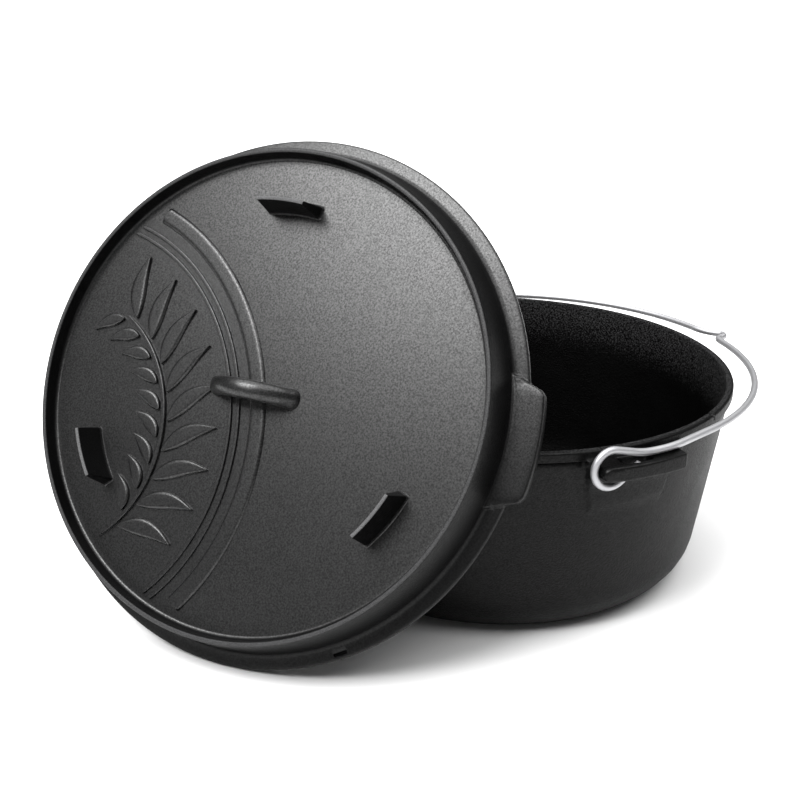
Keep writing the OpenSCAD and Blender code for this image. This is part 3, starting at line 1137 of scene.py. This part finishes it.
@dataclass
class Relief:
    """Low cast ornament on the lid's plate: a border of arcs round a plain leafy branch.

    Each band is its radius, width and height. Angles are degrees about the border's centre.
    """

    lid: Lid
    centre: tuple[float, float] = (-155.0, -45.0)
    edge: float = 157.0
    bands: tuple[Corner, ...] = ((164.0, 12.0, 1.7), (149.5, 3.0, 1.6), (143.5, 3.0, 1.6))
    sunk: float = 0.6
    step: float = 1.5
    stem_r: float = 92.0
    stem_w: float = 4.0
    stem_from: float = -50.0
    stem_to: float = 62.0
    leaf_w: float = 13.0
    leaf_h: float = 2.3
    leaf_gap: float = 4.0
    leaf_slant: float = 55.0
    leaf_bow: float = 0.10
    leaf_turn: float = 5.0
    outer_len: float = 44.0
    inner_len: float = 25.0
    leaf_pairs: int = 9

    def ribbon(self, path: Array, width: Array, height: float) -> Patch:
        """Low closed ridge along a path on the plate.

        Its section rises as height * (1 - u^8), where u goes from -1 to 1 across the width, and closes under
        the plate's face.

        Args:
            path: (x, y) rows on the plate.
            width: Full width at each row.
            height: Height above the plate.

        Returns:
            The ridge in the part's frame.
        """
        along = unit(np.gradient(path, axis=0))
        side = np.column_stack([-along[:, 1], along[:, 0]])
        u = np.sin(np.linspace(-math.pi / 2, math.pi / 2, 25))
        rise = np.concatenate([height * (1 - np.abs(u) ** 8), [-self.sunk, -self.sunk]])
        u = np.concatenate([u, [1.0, -1.0]])
        flat = path[:, None] + (width / 2)[:, None, None] * u[None, :, None] * side[:, None]
        up = self.lid.plate_top + self.lid.dome(np.linalg.norm(flat, axis=-1)) + rise
        return Patch(self.lid.placed(np.concatenate([flat, up[..., None]], axis=-1)), oil=1.0)

    def band(self, r: float, width: float, height: float) -> Patch:
        """One arc of the border, kept inside the plate's edge and closed to a point at each end.

        Args:
            r: Radius about the border's centre.
            width: Width of the arc.
            height: Height above the plate.

        Returns:
            The arc in the part's frame.
        """
        path = arc_points(self.centre, r, -90.0, 90.0, self.step)
        path = path[np.linalg.norm(path, axis=1) < self.edge - width / 2]
        span = np.full(len(path), width)
        span[[0, -1]] = 0.0
        return self.ribbon(path, span, height)

    def leaf(self, turn: float, length: float, outward: bool) -> Patch:
        """One leaf: a lens on a slightly bowed midline that leaves the stem at a slant.

        Its width goes as sin(pi * s^0.8)^0.9 along its length, with s from 0 to 1.

        Args:
            turn: Where the leaf meets the stem, in degrees about the border's centre.
            length: Length of the leaf.
            outward: Whether it lies outside the stem.

        Returns:
            The leaf in the part's frame.
        """
        sign = 1.0 if outward else -1.0
        root = np.array(self.centre) + self.stem_r * heading(turn)
        way = heading(turn + 90.0 - sign * self.leaf_slant)
        cross = np.array([-way[1], way[0]])
        s = np.linspace(0.0, 1.0, 40)
        bow = sign * self.leaf_bow * length * np.sin(math.pi * s)
        path = root + np.outer(self.leaf_gap + s * length, way) + np.outer(bow, cross)
        width = self.leaf_w * (length / self.outer_len) ** 0.5 * np.sin(math.pi * s**0.8) ** 0.9
        return self.ribbon(path, np.clip(width, 0.0, None), self.leaf_h)

    def build(self) -> list[Piece]:
        """Makes the border and the branch, whose stem narrows from its middle as sin(pi * s)^0.3.

        Returns:
            Both pieces.
        """
        border = patch_mesh("lid_border", [self.band(*band) for band in self.bands])
        stem = arc_points(self.centre, self.stem_r, self.stem_from, self.stem_to, self.step)
        s = np.linspace(0.0, 1.0, len(stem))
        patches = [self.ribbon(stem, self.stem_w * np.sin(math.pi * s) ** 0.3, self.leaf_h)]
        turns = np.linspace(self.stem_from + 9.0, self.stem_to - 6.0, self.leaf_pairs)
        patches += [self.leaf(t, self.outer_len, True) for t in turns]
        patches += [self.leaf(t + self.leaf_turn, self.inner_len, False) for t in turns]
        return [border, patch_mesh("lid_branch", patches)]


@dataclass
class Bail:
    """The bail: one bent wire with a hanging kink, two legs and two hooks round the ears' end bars.

    near_bend and far_bend are the radii between the bow and the kink's tip, on the side of each ear.
    """

    pot: Pot
    wire: float = 5.0
    bow_out: float = 4.0
    bow_turn: float = 72.4
    hook_room: float = 0.7
    hook_rise: float = 1.2
    bail_rise: float = 0.6
    neck_angle: float = 15.0
    neck_r: float = 60.0
    bend_r: float = 80.0
    bend_from: float = 4.2
    tail: float = 19.0
    tail_from: float = 305.0
    kink_h: float = 10.5
    kink_at: float = -3.7
    near_bend: float = 7.0
    far_bend: float = 30.0
    rest_gap: float = 0.3
    step: float = 1.3
    sides: int = 20
    steel: DrawnWire = DrawnWire("bail_steel")

    def half_path(self, kink_at: float, side_r: float) -> Array:
        """Middle line of the half towards -Y, from the kink's tip to the tail's end, bend by bend.

        Args:
            kink_at: Turn of the kink from the bow's middle, in degrees.
            side_r: Radius of the bend between the bow and the kink's tip.

        Returns:
            Points, one row each.
        """
        pot, half, tip_r = self.pot, self.wire / 2, self.wire
        hook_x = -(pot.slot_len + pot.end_bar) / 2
        hook_z = pot.ear_mid + self.hook_rise
        hook_r = pot.end_bar / 2 + self.hook_room + half
        leg_z = pot.ear_top + self.rest_gap + half
        bow_r = pot.rim_r + self.bow_out
        turn, neck = math.radians(self.bow_turn), math.radians(self.neck_angle)
        leg = (pot.slot_mid - bow_r * math.sin(turn) - self.bend_r * (1 - math.sin(turn))) / math.cos(turn)
        bend_x = pot.slot_len / 2 + self.bend_from
        bow_x = bend_x + self.bend_r * math.cos(turn) + leg * math.sin(turn) - bow_r * math.cos(turn)
        lift = leg_z - hook_z
        neck_x = hook_x + hook_r * math.sin(neck) + (hook_r * math.cos(neck) - lift) / math.tan(neck)
        neck_start = neck_x + self.neck_r * math.tan(neck / 2)
        far, near, both = bow_r + self.kink_h - tip_r, bow_r + side_r, tip_r + side_r
        kink = math.degrees(math.acos((near**2 + far**2 - both**2) / (2 * near * far)))
        side = heading(kink_at - kink)
        way = heading(kink_at)
        gap = near * side - far * way
        tip = math.degrees(math.atan2(gap[1], gap[0]))
        centre = np.array([bow_x, 0.0])
        plan = np.concatenate(
            [
                arc_points(centre + far * way, tip_r, kink_at, tip),
                arc_points(centre + near * side, side_r, tip + 180.0, kink_at - kink + 180.0),
                arc_points(centre, bow_r, kink_at - kink, -self.bow_turn),
                arc_points((bend_x, -pot.slot_mid + self.bend_r), self.bend_r, -self.bow_turn, -90.0),
            ]
        )
        upright = np.concatenate(
            [
                arc_points((neck_start, leg_z + self.neck_r), self.neck_r, -90.0, -90.0 - self.neck_angle),
                arc_points((hook_x, hook_z), hook_r, 90.0 - self.neck_angle, self.tail_from),
            ]
        )
        end = upright[-1] + self.tail * heading(self.tail_from + 90.0)
        upright = np.concatenate([upright, end[None]])
        level = np.column_stack([plan, np.full(len(plan), leg_z)])
        standing = np.column_stack([upright[:, 0], np.full(len(upright), -pot.slot_mid), upright[:, 1]])
        pivot = np.array([hook_x, 0.0, hook_z])
        return (np.concatenate([level, standing]) - pivot) @ turn_about("y", -self.bail_rise).T + pivot

    def build(self) -> None:
        """Makes the bail: a round tube along both halves, closed by a rounded cap at each end."""
        half = self.half_path(self.kink_at, self.near_bend)
        other = self.half_path(-self.kink_at, self.far_bend) * np.array([1.0, -1.0, 1.0])
        path = even_steps(np.concatenate([half[::-1], other]), self.step)
        run = np.arange(len(path)) * np.linalg.norm(path[1] - path[0])
        to_end = np.minimum(run, run[-1] - run)
        short = 1 - np.clip(to_end / self.step, 0, 1)
        radius = self.wire / 2 * np.sqrt(np.clip(1 - short**2, 0.0, 1.0))
        grid = tube_grid(path, radius, self.sides, keep_off=(0.0, 0.7, 0.7))
        wire = dress(patch_mesh("bail_wire", [Patch(grid)]), self.steel.material(), Body.BAIL)
        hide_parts("bail")


# Studio


@dataclass(frozen=True)
class Lamp:
    """Soft distant lamp: where it stands, how wide it looks in degrees, and its strength in W/m^2."""

    name: str
    towards: tuple[float, float, float]
    width: float
    strength: float


@dataclass
class Studio:
    """Floor, lights and camera, set out in the photograph's own directions.

    The photograph's frame has the camera looking along +Y; the part's frame is turned from it about Z.
    """

    turn: float = -25.6
    eye: tuple[float, float, float] = (-73.4, -936.2, 479.7)
    look: tuple[float, float, float] = (0.00036, 0.93291, -0.36010)
    roll: float = 0.014
    focal_px: float = 1310.0
    image_px: float = 800.0
    sensor: float = 36.0
    sight: float = 100.0
    floor_half: float = 20000.0
    sky: float = 0.18
    lamp_away: float = 3000.0
    lamps: tuple[Lamp, ...] = (
        Lamp("key_lamp", (-0.47, -0.38, 0.80), 34.0, 4.7),
        Lamp("top_lamp", (0.08, 0.0, 1.0), 84.0, 5.2),
    )

    def to_part(self, v: Sequence[float]) -> Array:
        """Turns a vector from the photograph's frame to the part's frame."""
        return turn_about("z", self.turn) @ np.asarray(v, float)

    def aim(self, obj: bpy.types.Object, eye: Array, look: Array, roll: float) -> None:
        """Places an object at eye, facing along look, rolled about it.

        Args:
            obj: Camera or lamp.
            eye: Place, in millimetres.
            look: Direction.
            roll: Turn about the direction, in radians.
        """
        look = unit(look)
        right = unit(np.cross(look, (0.0, 0.0, 1.0)))
        up = np.cross(right, look)
        turned = right * math.cos(roll) + up * math.sin(roll)
        pose = np.eye(4)
        pose[:3, :] = np.column_stack([turned, np.cross(-look, turned), -look, np.asarray(eye) * MM])
        obj.matrix_world = pose.T.tolist()

    def camera(self) -> None:
        """The camera at the photograph's viewing angle."""
        data = bpy.data.cameras.new("camera")
        data.sensor_width = self.sensor
        data.lens = self.sensor * self.focal_px / self.image_px
        data.clip_end = self.sight
        camera = add_object("camera", data)
        self.aim(camera, self.to_part(self.eye), self.to_part(self.look), self.roll)
        bpy.context.scene.camera = camera

    def lights(self) -> None:
        """Soft lamps and an even, dim white sky."""
        for lamp in self.lamps:
            data = bpy.data.lights.new(lamp.name, "SUN")
            data.angle = math.radians(lamp.width)
            data.energy = lamp.strength
            towards = self.to_part(lamp.towards)
            self.aim(add_object(lamp.name, data), towards * self.lamp_away, -towards, 0.0)
        world = bpy.data.worlds.new("sky")
        world.use_nodes = True
        background = world.node_tree.nodes["Background"]
        background.inputs["Color"].default_value = (1.0, 1.0, 1.0, 1.0)
        background.inputs["Strength"].default_value = self.sky
        bpy.context.scene.world = world
        bpy.context.scene.view_settings.view_transform = "Standard"

    def floor(self) -> None:
        """Plain pale floor."""
        h = self.floor_half
        corners = np.array([[[-h, -h, 0.0], [-h, h, 0.0]], [[h, -h, 0.0], [h, h, 0.0]]])
        ground = patch_mesh("floor", [Patch(corners, wrap_columns=False)])
        ground.data.materials.append(PaleFloor("floor_white").material())

    def build(self) -> None:
        """Makes the floor, lights and camera."""
        self.camera()
        self.lights()
        self.floor()


def main() -> None:
    """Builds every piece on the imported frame."""
    logging.basicConfig(level=logging.INFO, format="%(message)s")
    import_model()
    pot = Pot()
    Studio().build()
    pot.build()
    Lid(pot).build()
    Bail(pot).build()


if __name__ == "__main__":
    main()
